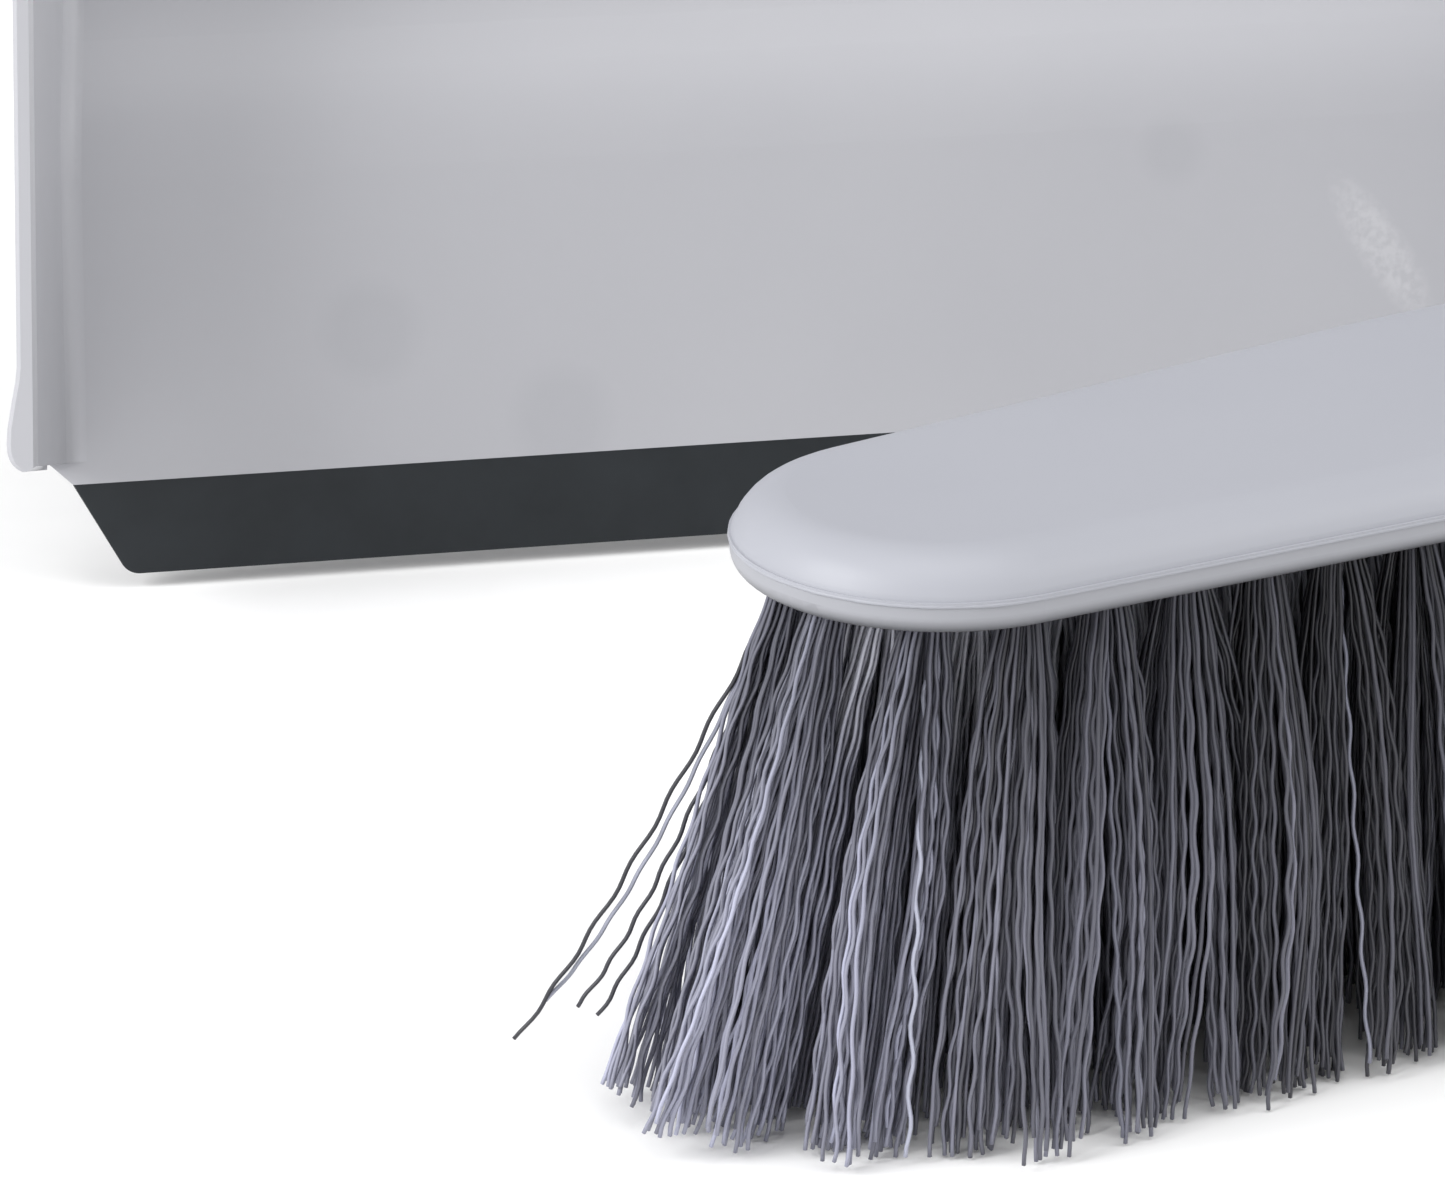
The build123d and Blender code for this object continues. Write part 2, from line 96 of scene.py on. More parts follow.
LOCK_DRIFT = 0.16  # of a bunch's tips, over the tuft's reach
WANDER = 0.75 * MM
OWN_WANDER = 0.28  # of a single filament, over that of its bunch
FIRST_ROW_TUFTS = 2
FULL_ROW_TUFTS = 5
SAME_LEVEL = 0.01 * MM  # vertices this near to an end of a tuft belong to it
# The rows' middle shades are painted light and shade: paler toward the nose, where the light falls,
# darker toward the rear.
SHADE_REAR = 0.0
SHADE_FRONT = 0.62
SHADE_FIRST_ROW = 0.53
SHADE_FADE = 3.0  # rows after which about a third of the way to the rear shade is left
SHADE_SPREAD = 0.11
TUFT_SHADE_SPREAD = 0.04
TIPS_PAINTED_LIGHT = 1.0  # painted light: added brightness toward the tips, over that of the rest
PALER_FROM = 0.2  # shares of the length between which that brightness comes in
PALER_TO = 0.6
RARE_PALE = 0.001  # share of nearly white filaments
RARE_PALE_SHADE = 0.95
ROOT_PAINTED_LIGHT_SHARE = 0.35  # of the length, over which the inner tufts get painted light

# ---- Joint bead ----
JOINT_Z = -240.0 * MM  # where the tuft block meets the top shell
JOINT_BAND = 0.4 * MM  # vertices this near to it give the joint's outline
BEAD_R = 0.22 * MM
BEAD_UNEVEN = (0.8, 1.15)  # least and greatest radius, over BEAD_R

# Filaments that stand out: row, tuft (0 is the near side), tip moved along the brush, across it
# and up in mm, shade from 0 (dark) to 1 (nearly white).
STRAYS = [
    (0, 1, -11, 11, 7, 0.05),
    (0, 1, -8, 10, 11, 0.95),
    (0, 1, -6, 7, 11, 0.10),
    (0, 1, -4, 6, 10, 0.10),
    (1, 0, 3, -5, 1, 1.00),
    (3, 0, 0, -5, 1, 0.70),
    (6, 0, 0, -4, 2, 0.90),
    (9, 0, -3, -5, 2, 0.80),
    (12, 0, 3, -5, 2, 0.10),
]


# ---- Marks on the pan's floor, painted shade and light on its side walls and a painted highlight: mm along the lip from the middle, then up from the lip ----
PAN_SLOPE = 71.0  # degrees between the pan's floor and the level
LIP_Y = -20.0
LIP_Z = -298.0
FLOOR_OUT = 5.0  # about where the floor's face is, out from the plane of the lip's underside
SPOTS = [(-70.0, 30.0, 8.0), (-45.0, 17.0, 8.0), (40.0, 48.0, 6.0)]  # and radius
SPOT_STRENGTH = 0.20
SOLID_SHARE = 0.55  # of the radius of a spot or of the painted highlight, inside which it has its full strength
SPOT_COLOUR = (0.33, 0.335, 0.36)
WALL_LENGTH = 110.0  # up from the lip, over which the side walls' painted shade turns into painted light
WALL_FROM = -30.0  # a wall's place times its normal, both along X: nothing changes at WALL_FROM
WALL_FULL = -80.0
WALL_PAINTED_LIGHT_AND_SHADE = [(0.0, (0.28, 0.282, 0.30)), (0.5, (0.47, 0.472, 0.50)), (1.0, (0.60, 0.603, 0.63))]
# A painted highlight: a paler streak across the pan's floor, where light is reflected.
HIGHLIGHT_START = (61.0, 46.0)
HIGHLIGHT_END = (76.0, 22.0)
HIGHLIGHT_HALF_WIDTH = 4.0
HIGHLIGHT_COLOUR = (0.62, 0.62, 0.64)
HIGHLIGHT_STRENGTHS = (0.08, 0.42)  # weakest and strongest
HIGHLIGHT_SPREAD = (0.36, 0.62)  # the noise values that give them


# ---- Small helpers ----
def frame_node(name):
    """The CAD object of that name."""
    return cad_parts[name]


def tuft_row_names():
    """Names of the plain tuft rows, from the front of the brush."""
    return sorted(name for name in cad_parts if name.startswith("tuft_row_"))


def node_points(name):
    """The vertices of a CAD node."""
    mesh = frame_node(name).data
    points = np.empty(len(mesh.vertices) * 3)
    mesh.vertices.foreach_get("co", points)
    return points.reshape(-1, 3)


# ---- Where the tufts are ----
def split_groups(points, count):
    """Centres, mean radius and common line of count equal discs that lie side by side."""
    flat = points[:, :2]
    middle = flat.mean(axis=0)
    axis = np.linalg.svd(flat - middle, full_matrices=False)[2][0]
    if axis[1] < 0:
        axis = -axis
    order = np.argsort((flat - middle) @ axis)
    groups = np.array_split(points[order], count)
    centres = np.array([group.mean(axis=0) for group in groups])
    radii = [np.linalg.norm(g[:, :2] - c[:2], axis=1).max() for g, c in zip(groups, centres)]
    return centres, float(np.mean(radii)), axis


def read_row(name, count):
    """Root and tip discs of one row of plain tufts."""
    points = node_points(name)
    top = points[:, 2].max()
    low = points[:, 2].min()
    roots, root_r, _ = split_groups(points[points[:, 2] > top - SAME_LEVEL], count)
    tips, _, across = split_groups(points[points[:, 2] < low + SAME_LEVEL], count)
    return {"roots": roots, "tips": tips, "root_r": root_r, "across": across}


def read_rows():
    """All rows, each with the distances from its tips to the neighbouring ones."""
    rows = []
    for index, name in enumerate(tuft_row_names()):
        rows.append(read_row(name, FULL_ROW_TUFTS if index else FIRST_ROW_TUFTS))
    middles = np.array([row["tips"].mean(axis=0) for row in rows])
    gaps = np.linalg.norm(np.diff(middles, axis=0), axis=1)
    for index, row in enumerate(rows):
        near = gaps[max(index - 1, 0):index + 1]
        row["gap_along"] = float(near.mean())
        row["gap_across"] = float(np.linalg.norm(row["tips"][1] - row["tips"][0]))
        row["outer_row"] = index in (0, 1, len(rows) - 1)
        row["fan_power"] = FAN_POWER if index else FIRST_ROW_FAN
    return rows


# ---- Filaments ----
def unit_disc(rng, count):
    """count points spread evenly over a unit disc, slightly disturbed."""
    k = np.arange(count) + 0.5
    radius = np.sqrt(k / count)
    angle = k * math.pi * (3 - math.sqrt(5)) + rng.uniform(0, 2 * math.pi)
    points = np.stack([radius * np.cos(angle), radius * np.sin(angle)], axis=1)
    return points + rng.normal(0, DISC_SCATTER, points.shape)


def lock_offsets(rng, disc, reach):
    """Each filament's shift at its tip toward the middle of its bunch, and the bunch's number."""
    heads = unit_disc(rng, LOCKS)
    nearest = np.argmin(np.linalg.norm(disc[:, None] - heads[None], axis=2), axis=1)
    drift = rng.normal(0, LOCK_DRIFT, (LOCKS, 2))
    pull = LOCK_PULL * (heads[nearest] - disc) + drift[nearest]
    return pull * reach, nearest


def tuft_paths(rng, row, index, count):
    """Centre lines of one tuft's filaments, as an array of filament, step, xyz."""
    root = row["roots"][index] - np.array([0, 0, ROOT_INSIDE])
    tip = row["tips"][index]
    across = np.array([*row["across"], 0.0])
    along = np.array([across[1], -across[0], 0.0])
    disc = unit_disc(rng, count)
    reach = np.array([TIP_SPREAD_ALONG * row["gap_along"], TIP_SPREAD_ACROSS * row["gap_across"]])
    pull, lock = lock_offsets(rng, disc, reach)
    t = np.linspace(0, 1, STEPS)
    fan = 1 - (1 - t) ** row["fan_power"]
    near = disc * row["root_r"] * ROOT_FILL
    far = disc * reach + pull
    offset = near[:, None] * (1 - fan)[None, :, None] + far[:, None] * fan[None, :, None]
    offset += wander(rng, t, lock, count)
    offset += crimp(rng, t, count, root[2] - tip[2])
    line = root[None, :] + (tip - root)[None, :] * t[:, None]
    paths = line[None] + offset[..., :1] * along + offset[..., 1:] * across
    rise = rng.uniform(0, 1, count) ** RAGGED_POWER * TIP_RAGGED + LEAST_RISE
    rise += equal_length_rise(root, paths[:, -1])
    paths[..., 2] += rise[:, None] * t[None]
    return paths


def equal_length_rise(root, tips):
    """How much higher a filament's tip ends when it leans out, as all are cut to one length."""
    upright = root[2] - tips[:, 2]
    sideways = np.linalg.norm(tips[:, :2] - root[:2], axis=1)
    reach = np.sqrt(np.maximum((upright + SPARE_LENGTH) ** 2 - sideways**2, 0))
    return np.maximum(upright - reach, 0)


def stray_path(rng, row, index, shift):
    """Centre line of one filament that leaves its tuft, as an array of one filament."""
    along_shift, across_shift, up = np.array(shift) * MM
    root = row["roots"][index] - np.array([0, 0, ROOT_INSIDE])
    tip = row["tips"][index]
    across = np.array([*row["across"], 0.0])
    along = np.array([across[1], -across[0], 0.0])
    t = np.linspace(0, 1, STEPS)
    line = root[None, :] + (tip - root)[None, :] * t[:, None]
    line = line + t[:, None] * (along_shift * along + across_shift * across)
    line[:, 2] += up * t**3
    wave = crimp(rng, t, 1, root[2] - tip[2])[0]
    return (line + wave[:, :1] * along + wave[:, 1:] * across)[None]


def wander(rng, t, lock, count):
    """Slow sideways drift that a bunch shares, with a little of each filament's own."""
    shared = rng.normal(0, 1, (LOCKS, 2, 2))[lock]
    own = rng.normal(0, OWN_WANDER, (count, 2, 2))
    mix = shared + own
    slow_wave = np.sin(math.pi * t * 1.3) * t
    quick_wave = np.sin(math.pi * t * 2.6 + 0.7) * t
    slow = mix[:, None, 0] * slow_wave[None, :, None]
    quick = 0.5 * mix[:, None, 1] * quick_wave[None, :, None]
    return WANDER * (slow + quick)


def crimp(rng, t, count, length):
    """The regular small wave of a crimped filament, flat in one direction."""
    turn = rng.uniform(0, 2 * math.pi) + rng.normal(0, CRIMP_ANGLE_SPREAD, count)
    phase = rng.uniform(0, 2 * math.pi) + rng.normal(0, CRIMP_ANGLE_SPREAD, count)
    pitch = CRIMP_LENGTH * rng.normal(1, CRIMP_LENGTH_SPREAD, count)
    grown = np.clip((t[:, None] - CRIMP_FROM) / CRIMP_FADE_IN, 0, 1)
    size = CRIMP * rng.uniform(*CRIMP_SIZES, count) * grown
    wave = size * np.sin(2 * math.pi * length * t[:, None] / pitch + phase)
    direction = np.stack([np.cos(turn), np.sin(turn)], axis=1)
    return wave.T[..., None] * direction[:, None]


def tube_vertices(paths, radius):
    """Rings of FILAMENT_SIDES points about each path."""
    tangent = np.gradient(paths, axis=1)
    tangent /= np.linalg.norm(tangent, axis=2, keepdims=True)
    side = np.cross(tangent, np.array([0.0, 1.0, 0.0]))
    side /= np.linalg.norm(side, axis=2, keepdims=True)
    front = np.cross(side, tangent)
    angle = 2 * math.pi * np.arange(FILAMENT_SIDES) / FILAMENT_SIDES
    ring = np.cos(angle)[:, None] * side[:, :, None] + np.sin(angle)[:, None] * front[:, :, None]
    return paths[:, :, None] + ring * radius


def tube_faces(count):
    """Quads of count tubes, each with its two square ends, as rows of four vertex numbers."""
    ring = np.arange(FILAMENT_SIDES)
    following = (ring + 1) % FILAMENT_SIDES
    step = np.arange(STEPS - 1)[:, None] * FILAMENT_SIDES
    sides = np.stack(
        [step + ring, step + FILAMENT_SIDES + ring, step + FILAMENT_SIDES + following, step + following],
        axis=2,
    ).reshape(-1, 4)
    last = (STEPS - 1) * FILAMENT_SIDES
    ends = np.array([ring, (last + ring)[::-1]])
    one = np.concatenate([sides, ends])
    start = np.arange(count)[:, None, None] * STEPS * FILAMENT_SIDES
    return (one[None] + start).reshape(-1, 4)


def filament_object(name, paths, shades, root_light_gains, tip_light_gains):
    """One mesh of a row's filaments, which carries their shades and how much painted light each end gets.
    """
    vertices = tube_vertices(paths, FILAMENT_R).reshape(-1, 3)
    faces = tube_faces(len(paths))
    mesh = bpy.data.meshes.new(name)
    mesh.vertices.add(len(vertices))
    mesh.vertices.foreach_set("co", vertices.ravel())
    mesh.loops.add(faces.size)
    mesh.loops.foreach_set("vertex_index", faces.ravel().astype(np.int32))
    mesh.polygons.add(len(faces))
    mesh.polygons.foreach_set("loop_start", np.arange(0, faces.size, 4, dtype=np.int32))
    mesh.update(calc_edges=True)
    mesh.shade_smooth()
    per_filament = STEPS * FILAMENT_SIDES
    shade = mesh.attributes.new("shade", "FLOAT", "POINT")
    shade.data.foreach_set("value", np.repeat(shades, per_filament).astype(np.float32))
    t = np.repeat(np.linspace(0, 1, STEPS), FILAMENT_SIDES)
    near_root = np.clip(1 - t / ROOT_PAINTED_LIGHT_SHARE, 0, 1)
    root_light = mesh.attributes.new("root_painted_light", "FLOAT", "POINT")
    root_light.data.foreach_set("value", np.outer(root_light_gains, near_root).ravel().astype(np.float32))
    tip_painted_light = np.clip((t - PALER_FROM) / (PALER_TO - PALER_FROM), 0, 1)
    tip = mesh.attributes.new("tip_painted_light", "FLOAT", "POINT")
    tip.data.foreach_set("value", np.outer(tip_light_gains, tip_painted_light).ravel().astype(np.float32))
    made = bpy.data.objects.new(name, mesh)
    bpy.context.scene.collection.objects.link(made)
    return made


def tuft_shades(rng, row_number, count):
    """Shades of one tuft's filaments, with painted light toward the nose and painted shade toward the
    rear, and a rare nearly white one.
    """
    middle = SHADE_REAR + (SHADE_FRONT - SHADE_REAR) * math.exp(-row_number / SHADE_FADE)
    if row_number == 0:
        middle = SHADE_FIRST_ROW
    tone = rng.normal(middle, SHADE_SPREAD, count) + rng.normal(0, TUFT_SHADE_SPREAD)
    tone[rng.uniform(size=count) < RARE_PALE] = RARE_PALE_SHADE
    return np.clip(tone, 0, 1)


def make_filaments(material):
    """Replace every plain tuft row by its filaments."""
    rng = np.random.default_rng(SEED)
    rows = read_rows()
    for number, (row, node) in enumerate(zip(rows, tuft_row_names())):
        paths = []
        shades = []
        root_light_gains = []
        tip_light_gains = []
        for index in range(len(row["roots"])):
            inner = number > 0 and 0 < index < len(row["roots"]) - 1
            count = OUTER_COUNT if row["outer_row"] or not inner else INNER_COUNT
            paths.append(tuft_paths(rng, row, index, count))
            shades.append(tuft_shades(rng, number, count))
            # painted light at the inner tufts' roots and toward every tuft's tips
            root_light_gains.append(np.full(count, float(inner)))
            tip_light_gains.append(np.ones(count))
        for stray_row, index, *shift, shade in STRAYS:
            if stray_row == number:
                paths.append(stray_path(rng, row, index, shift))
                shades.append([shade])
                root_light_gains.append([0.0])
                tip_light_gains.append([0.0])
        name = "filaments_" + node[-2:]
        parts = (paths, shades, root_light_gains, tip_light_gains)
        made = filament_object(name, *(np.concatenate(part) for part in parts))
        made.data.materials.append(material)
        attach(made, "brush")
        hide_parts(node)


# ---- Joint bead ----
def joint_outline():
    """Points around the brush head where the tuft block meets the top shell."""
    points = node_points("brush_tuft_block")
    band = points[np.abs(points[:, 2] - JOINT_Z) < JOINT_BAND]
    outline = band[convex_hull_2d([Vector(p[:2]) for p in band])]
    outline[:, 2] = JOINT_Z - BEAD_R / 2
    return outline


def make_joint_bead(material):
    """The fine, slightly uneven raised line that closes the joint."""
    rng = np.random.default_rng(SEED)
    outline = joint_outline()
    curve = bpy.data.curves.new("joint_bead", "CURVE")
    curve.dimensions = "3D"
    curve.bevel_depth = BEAD_R
    curve.bevel_resolution = 2
    spline = curve.splines.new("POLY")
    spline.points.add(len(outline) - 1)
    for point, at in zip(spline.points, outline):
        point.co = (*at, 1)
        point.radius = rng.uniform(*BEAD_UNEVEN)
    spline.use_cyclic_u = True
    drawn = bpy.data.objects.new("joint_bead_curve", curve)
    bead = bpy.data.objects.new("joint_bead", bpy.data.meshes.new_from_object(drawn))
    bpy.data.objects.remove(drawn)
    bead.data.materials.append(material)
    bpy.context.scene.collection.objects.link(bead)
    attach(bead, "brush")


# ---- Materials ----
# Painted light on the roots of the inner tufts, which lie in shade.
ROOT_PAINTED_LIGHT = (0.74, 0.75, 0.84)
PAINTED_UNDERSIDE_SHADE = 0.28  # painted shade: brightness of faces that look down, over that of the others
SPECULAR = 0.35
MIX_SHARE, MIX_FIRST, MIX_SECOND, MIX_RESULT = 0, 6, 7, 2  # a Mix node's sockets for colours


def new_material(name):
    """An empty node material with its nodes, its links and its Principled shader."""
    material = bpy.data.materials.new(name)
    material.use_nodes = True
    tree = material.node_tree
    return material, tree.nodes, tree.links, tree.nodes["Principled BSDF"]


def noise(nodes, links, source, scale, detail=2.0, roughness=0.5):
    """A noise texture over the given coordinates."""
    node = nodes.new("ShaderNodeTexNoise")
    node.inputs["Scale"].default_value = scale
    node.inputs["Detail"].default_value = detail
    node.inputs["Roughness"].default_value = roughness
    links.new(source, node.inputs["Vector"])
    return node.outputs["Fac"]


def ramp(nodes, links, source, stops):
    """A colour ramp through (position, colour) stops."""
    node = nodes.new("ShaderNodeValToRGB")
    elements = node.color_ramp.elements
    while len(elements) < len(stops):
        elements.new(0.5)
    for element, (position, colour) in zip(elements, stops):
        element.position = position
        element.color = (*colour, 1)
    links.new(source, node.inputs["Fac"])
    return node.outputs["Color"]


def blend(nodes, links, share, colour, other):
    """colour, turned by share into the other, which is fixed or a source."""
    node = nodes.new("ShaderNodeMix")
    node.data_type = "RGBA"
    links.new(share, node.inputs[MIX_SHARE])
    links.new(colour, node.inputs[MIX_FIRST])
    if isinstance(other, tuple):
        node.inputs[MIX_SECOND].default_value = (*other, 1)
    else:
        links.new(other, node.inputs[MIX_SECOND])
    return node.outputs[MIX_RESULT]


def remap(nodes, links, source, low, high, start=0.0, end=1.0):
    """source's start to end as low to high."""
    node = nodes.new("ShaderNodeMapRange")
    node.inputs["From Min"].default_value = start
    node.inputs["From Max"].default_value = end
    node.inputs["To Min"].default_value = low
    node.inputs["To Max"].default_value = high
    links.new(source, node.inputs["Value"])
    return node.outputs["Result"]


def bump(nodes, links, source, shader, strength, distance):
    """Raise the surface by source."""
    node = nodes.new("ShaderNodeBump")
    node.inputs["Strength"].default_value = strength
    node.inputs["Distance"].default_value = distance
    links.new(source, node.inputs["Height"])
    links.new(node.outputs["Normal"], shader.inputs["Normal"])


def pan_point(x, up):
    """A point of the pan's floor: x along the lip and up from the lip, in mm."""
    lean = math.radians(PAN_SLOPE)
    y = LIP_Y + up * math.cos(lean) - FLOOR_OUT * math.sin(lean)
    z = LIP_Z + up * math.sin(lean) + FLOOR_OUT * math.cos(lean)
    return Vector((x, y, z)) * MM


def soft_spot(nodes, links, place, centre, half_sizes, long_way=Vector((1, 0, 0))):
    """1 about the centre, fading to 0 at the edge of an ellipsoid whose first axis lies the long way."""
    node = nodes.new("ShaderNodeMapping")
    node.vector_type = "TEXTURE"
    node.inputs["Location"].default_value = centre
    node.inputs["Rotation"].default_value = long_way.to_track_quat("X", "Z").to_euler()
    node.inputs["Scale"].default_value = Vector(half_sizes) * MM
    links.new(place, node.inputs["Vector"])
    length = nodes.new("ShaderNodeVectorMath")
    length.operation = "LENGTH"
    links.new(node.outputs["Vector"], length.inputs[0])
    return remap(nodes, links, length.outputs["Value"], 1.0, 0.0, start=SOLID_SHARE)


def times(nodes, links, source, factor):
    """source times factor, which is a number or another source."""
    node = nodes.new("ShaderNodeMath")
    node.operation = "MULTIPLY"
    links.new(source, node.inputs[0])
    if isinstance(factor, float):
        node.inputs[1].default_value = factor
    else:
        links.new(factor, node.inputs[1])
    return node.outputs["Value"]


def paint_wall_light_and_shade(nodes, links, place, colour):
    """Paint shade and light into colour inside the pan's side walls: darker near the lip, paler higher
    up.
    """
    facing = nodes.new("ShaderNodeSeparateXYZ")
    links.new(nodes.new("ShaderNodeNewGeometry").outputs["Normal"], facing.inputs[0])
    at = nodes.new("ShaderNodeSeparateXYZ")
    links.new(place, at.inputs[0])
    outward = times(nodes, links, facing.outputs["X"], at.outputs["X"])
    up = remap(nodes, links, at.outputs["Z"], 0.0, 1.0, LIP_Z * MM, (LIP_Z + WALL_LENGTH) * MM)
    share = remap(nodes, links, outward, 0.0, 1.0, WALL_FROM * MM, WALL_FULL * MM)
    return blend(nodes, links, share, colour, ramp(nodes, links, up, WALL_PAINTED_LIGHT_AND_SHADE))


def add_pan_tones(material):
    """The side walls' painted shade and light, faint darker spots and one painted highlight on the pan's
    floor.
    """
    nodes, links = material.node_tree.nodes, material.node_tree.links
    socket = nodes["Principled BSDF"].inputs["Base Color"]
    colour = socket.links[0].from_socket
    place = nodes.new("ShaderNodeTexCoord").outputs["Object"]
    colour = paint_wall_light_and_shade(nodes, links, place, colour)
    for x, up, size in SPOTS:
        spot = soft_spot(nodes, links, place, pan_point(x, up), (size, size, size))
        colour = blend(nodes, links, times(nodes, links, spot, SPOT_STRENGTH), colour, SPOT_COLOUR)
    # the painted highlight, a paler streak of reflected light with grain in it
    start, end = pan_point(*HIGHLIGHT_START), pan_point(*HIGHLIGHT_END)
    half_sizes = ((end - start).length / 2 / MM, HIGHLIGHT_HALF_WIDTH, HIGHLIGHT_HALF_WIDTH)
    highlight = soft_spot(nodes, links, place, (start + end) / 2, half_sizes, end - start)
    grain = noise(nodes, links, place, scale=900.0, detail=3.0)
    highlight_streaks = remap(nodes, links, grain, *HIGHLIGHT_STRENGTHS, *HIGHLIGHT_SPREAD)
    colour = blend(nodes, links, times(nodes, links, highlight, highlight_streaks), colour, HIGHLIGHT_COLOUR)
    links.new(colour, socket)
    return material


def underside_shade_mask(nodes, links):
    """Where painted shade goes under a part: 1 on faces that look straight down, 0 on upright ones."""
    split = nodes.new("ShaderNodeSeparateXYZ")
    links.new(nodes.new("ShaderNodeNewGeometry").outputs["Normal"], split.inputs[0])
    return remap(nodes, links, split.outputs["Z"], 1.0, 0.0, -0.9, -0.05)


def moulded_plastic(name, dark, light, roughness, underside=1.0):
    """Pale plastic with faint mottling, a fine texture and uneven sheen; with underside under 1, painted
    shade on faces that look down.
    """
    material, nodes, links, shader = new_material(name)
    place = nodes.new("ShaderNodeTexCoord").outputs["Object"]
    flow = noise(nodes, links, place, scale=14.0, detail=3.0)
    colour = ramp(nodes, links, flow, [(0.3, dark), (0.7, light)])
    if underside < 1:
        # painted shade on the faces that look down
        below = tuple(underside * channel for channel in dark)
        colour = blend(nodes, links, underside_shade_mask(nodes, links), colour, below)
    links.new(colour, shader.inputs["Base Color"])
    sheen = noise(nodes, links, place, scale=120.0, detail=3.0)
    uneven = remap(nodes, links, sheen, roughness - 0.03, roughness + 0.03)
    links.new(uneven, shader.inputs["Roughness"])
    shader.inputs["Specular IOR Level"].default_value = SPECULAR
    texture = noise(nodes, links, place, scale=1300.0)
    bump(nodes, links, texture, shader, strength=0.15, distance=0.01 * MM)
    return material


def moulded_rubber():
    """Charcoal rubber with a fine matt grain."""
    material, nodes, links, shader = new_material("charcoal_rubber")
    place = nodes.new("ShaderNodeTexCoord").outputs["Object"]
    cloud = noise(nodes, links, place, scale=90.0, detail=4.0, roughness=0.6)
    colour = ramp(nodes, links, cloud, [(0.3, (0.011, 0.014, 0.017)), (0.7, (0.017, 0.021, 0.025))])
    links.new(colour, shader.inputs["Base Color"])
    links.new(remap(nodes, links, cloud, 0.48, 0.60), shader.inputs["Roughness"])
    shader.inputs["Specular IOR Level"].default_value = SPECULAR
    texture = noise(nodes, links, place, scale=2200.0, detail=3.0)
    bump(nodes, links, texture, shader, strength=0.35, distance=0.03 * MM)
    return material


def filament_plastic():
    """Grey filament: each its own shade, with painted light toward its tip and on the roots of the inner
    ones.
    """
    material, nodes, links, shader = new_material("grey_filament")
    shade = nodes.new("ShaderNodeAttribute")
    shade.attribute_name = "shade"
    stops = [
        (0.0, (0.030, 0.030, 0.036)),
        (0.45, (0.115, 0.116, 0.145)),
        (0.85, (0.235, 0.240, 0.305)),
        (1.0, (0.480, 0.495, 0.600)),
    ]
    colour = ramp(nodes, links, shade.outputs["Fac"], stops)
    root_light = nodes.new("ShaderNodeAttribute")
    root_light.attribute_name = "root_painted_light"
    colour = blend(nodes, links, root_light.outputs["Fac"], colour, ROOT_PAINTED_LIGHT)
    tip = nodes.new("ShaderNodeAttribute")
    tip.attribute_name = "tip_painted_light"
    gain = nodes.new("ShaderNodeVectorMath")
    gain.operation = "SCALE"
    links.new(colour, gain.inputs[0])
    links.new(remap(nodes, links, tip.outputs["Fac"], 1.0, 1 + TIPS_PAINTED_LIGHT), gain.inputs["Scale"])
    links.new(gain.outputs[0], shader.inputs["Base Color"])
    place = nodes.new("ShaderNodeTexCoord").outputs["Object"]
    streak = noise(nodes, links, place, scale=700.0)
    links.new(remap(nodes, links, streak, 0.30, 0.46), shader.inputs["Roughness"])
    bump(nodes, links, streak, shader, strength=0.2, distance=0.02 * MM)
    return material


def drawn_wire():
    """Flat steel anchor wire with a fine grain."""
    material, nodes, links, shader = new_material("anchor_steel")
    place = nodes.new("ShaderNodeTexCoord").outputs["Object"]
    grain = noise(nodes, links, place, scale=1800.0)
    colour = ramp(nodes, links, grain, [(0.3, (0.50, 0.50, 0.51)), (0.7, (0.66, 0.66, 0.67))])
    links.new(colour, shader.inputs["Base Color"])
    links.new(remap(nodes, links, grain, 0.22, 0.38), shader.inputs["Roughness"])
    shader.inputs["Metallic"].default_value = 1.0
    bump(nodes, links, grain, shader, strength=0.2, distance=0.01 * MM)
    return material


def floor_paper():
    """White studio paper."""
    material, nodes, links, shader = new_material("studio_paper")
    place = nodes.new("ShaderNodeTexCoord").outputs["Object"]
    fibre = noise(nodes, links, place, scale=60.0, detail=3.0)
    colour = ramp(nodes, links, fibre, [(0.3, (0.93, 0.93, 0.93)), (0.7, (0.95, 0.95, 0.95))])
    links.new(colour, shader.inputs["Base Color"])
    shader.inputs["Roughness"].default_value = 0.9
    shader.inputs["Specular IOR Level"].default_value = 0.1
    return material


def dress(name, material):
    """Give a CAD node its material."""
    node = frame_node(name)
    node.data.materials.clear()
    node.data.materials.append(material)


def soften_edges(name, width):
    """Round the sharp edges of a CAD node, in its looks only."""
    bevel = frame_node(name).modifiers.new("soft_edges", "BEVEL")
    bevel.width = width
    bevel.segments = 2
    bevel.limit_method = "ANGLE"
    bevel.angle_limit = math.radians(35)


# ---- Studio ----
FLOOR_HALF = 6.0
SURROUNDINGS = 0.50  # brightness
LIGHTS_AIM = (0.0, -0.1, -0.2)
LIGHTS = [  # name, place, size, power in watts
    ("left_light", (-1.7, -0.6, 0.9), 1.3, 39.0),
    ("right_light", (1.6, -0.9, 1.0), 1.3, 13.5),
    ("top_light", (0.0, -0.6, 1.8), 1.6, 15.0),
]


def make_floor(material):
    """A wide plain floor at the height of the bristle tips."""
    half = FLOOR_HALF
    low = cad_box[0][2]
    mesh = bpy.data.meshes.new("studio_floor")
    corners = [(-half, -half, low), (half, -half, low), (half, half, low), (-half, half, low)]
    mesh.from_pydata(corners, [], [(0, 1, 2, 3)])
    mesh.materials.append(material)
    floor = bpy.data.objects.new("studio_floor", mesh)
    bpy.context.scene.collection.objects.link(floor)


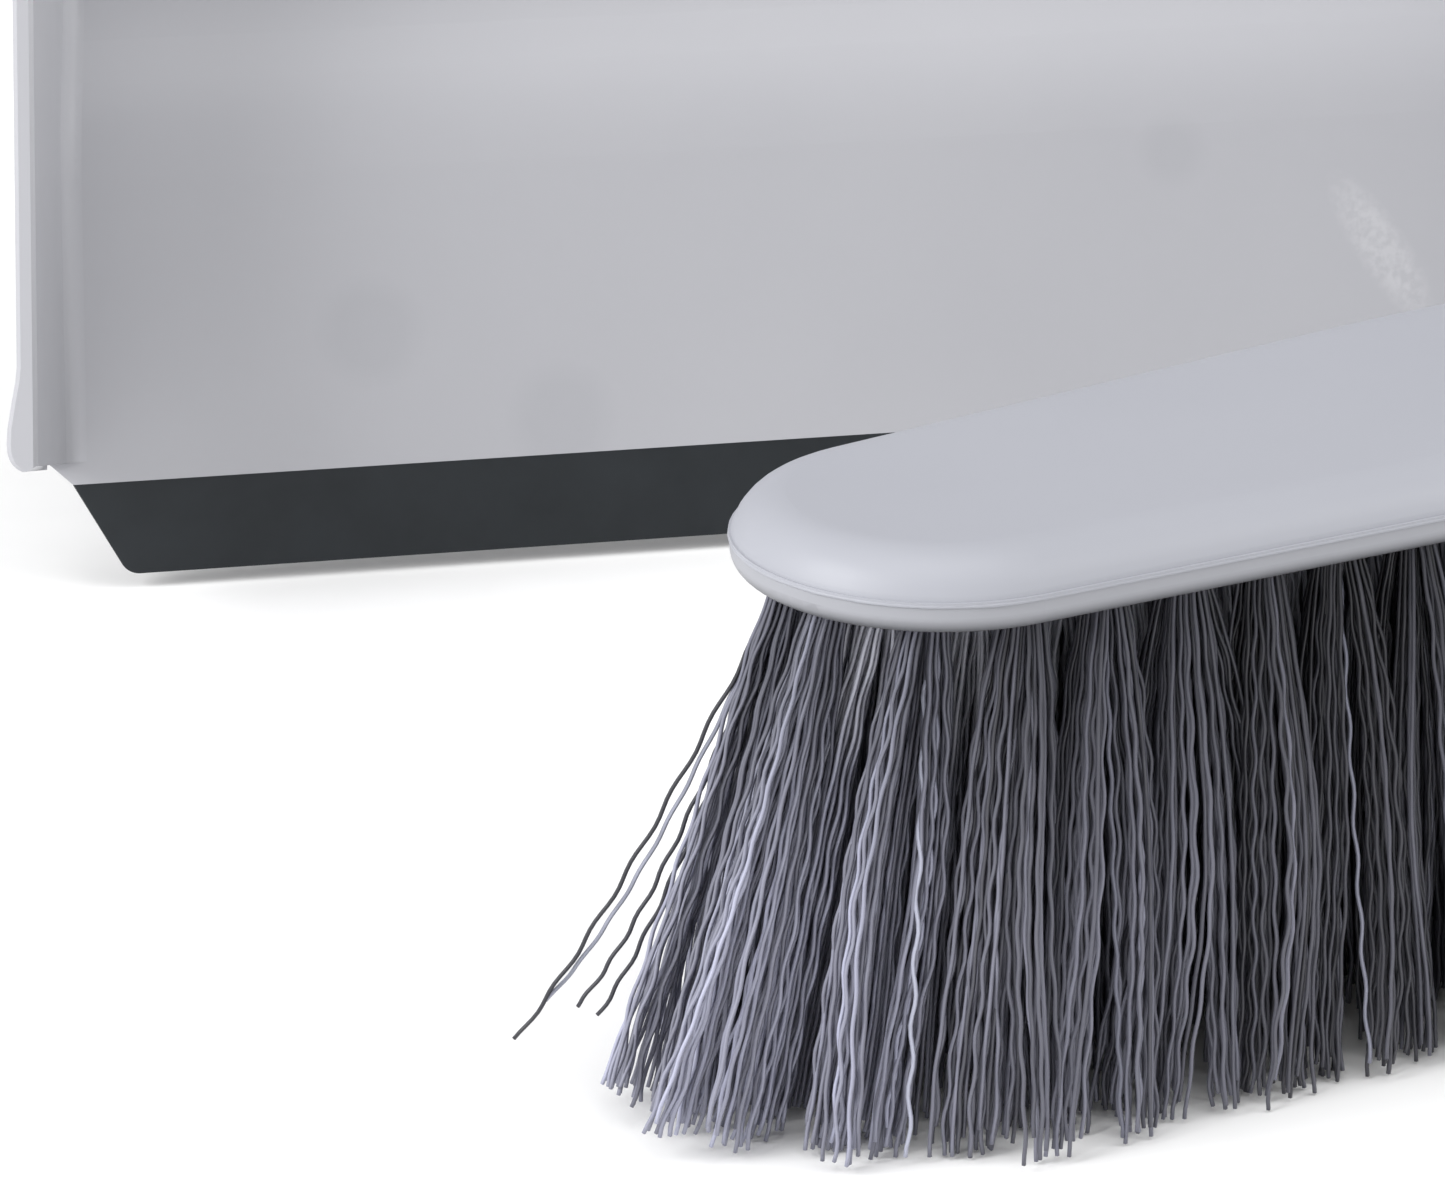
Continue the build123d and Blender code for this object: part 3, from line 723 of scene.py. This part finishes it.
def soft_box(name, at, aim, size, power):
    """A square area light at one point that shines toward another."""
    light = bpy.data.lights.new(name, "AREA")
    light.size = size
    light.energy = power
    lamp = bpy.data.objects.new(name, light)
    lamp.location = at
    lamp.rotation_euler = (Vector(aim) - Vector(at)).to_track_quat("-Z", "Y").to_euler()
    bpy.context.scene.collection.objects.link(lamp)


def make_studio():
    """Dim white surroundings and three large soft lights: left, right and above."""
    world = bpy.data.worlds.new("studio")
    world.use_nodes = True
    background = world.node_tree.nodes["Background"]
    background.inputs["Color"].default_value = (1, 1, 1, 1)
    background.inputs["Strength"].default_value = SURROUNDINGS
    bpy.context.scene.world = world
    for name, at, size, power in LIGHTS:
        soft_box(name, at, LIGHTS_AIM, size, power)


def make_camera():
    """The camera of the main view."""
    data = bpy.data.cameras.new("camera")
    data.lens = LENS
    data.clip_start = 0.02
    data.clip_end = 50.0
    camera = bpy.data.objects.new("camera", data)
    azimuth = math.radians(VIEW_AZIMUTH)
    down = math.radians(VIEW_DOWN)
    forward = Vector(
        (math.sin(azimuth) * math.cos(down), math.cos(azimuth) * math.cos(down), -math.sin(down))
    )
    camera.location = CAMERA_AT
    camera.rotation_euler = forward.to_track_quat("-Z", "Y").to_euler()
    bpy.context.scene.collection.objects.link(camera)
    bpy.context.scene.camera = camera


# ---- Build ----
make_camera()
make_studio()
make_floor(floor_paper())
bpy.context.scene.view_settings.view_transform = "Standard"

pan_plastic = moulded_plastic(
    "pan_plastic", dark=(0.425, 0.427, 0.455), light=(0.450, 0.452, 0.480), roughness=0.36
)
dress("pan_body", add_pan_tones(pan_plastic))
shell_plastic = moulded_plastic(
    "shell_plastic", dark=(0.362, 0.370, 0.410), light=(0.382, 0.390, 0.430), roughness=0.42
)
dress("brush_top_shell", shell_plastic)
# The block's darker, more neutral colour is partly its own, partly painted shade on its sideways faces.
block_plastic = moulded_plastic(
    "block_plastic",
    dark=(0.335, 0.340, 0.37),
    light=(0.355, 0.360, 0.39),
    roughness=0.45,
    underside=PAINTED_UNDERSIDE_SHADE,
)
dress("brush_tuft_block", block_plastic)
make_joint_bead(shell_plastic)
dress("pan_lip", moulded_rubber())
soften_edges("pan_lip", 0.2 * MM)
dress("tuft_anchors", drawn_wire())
make_filaments(filament_plastic())
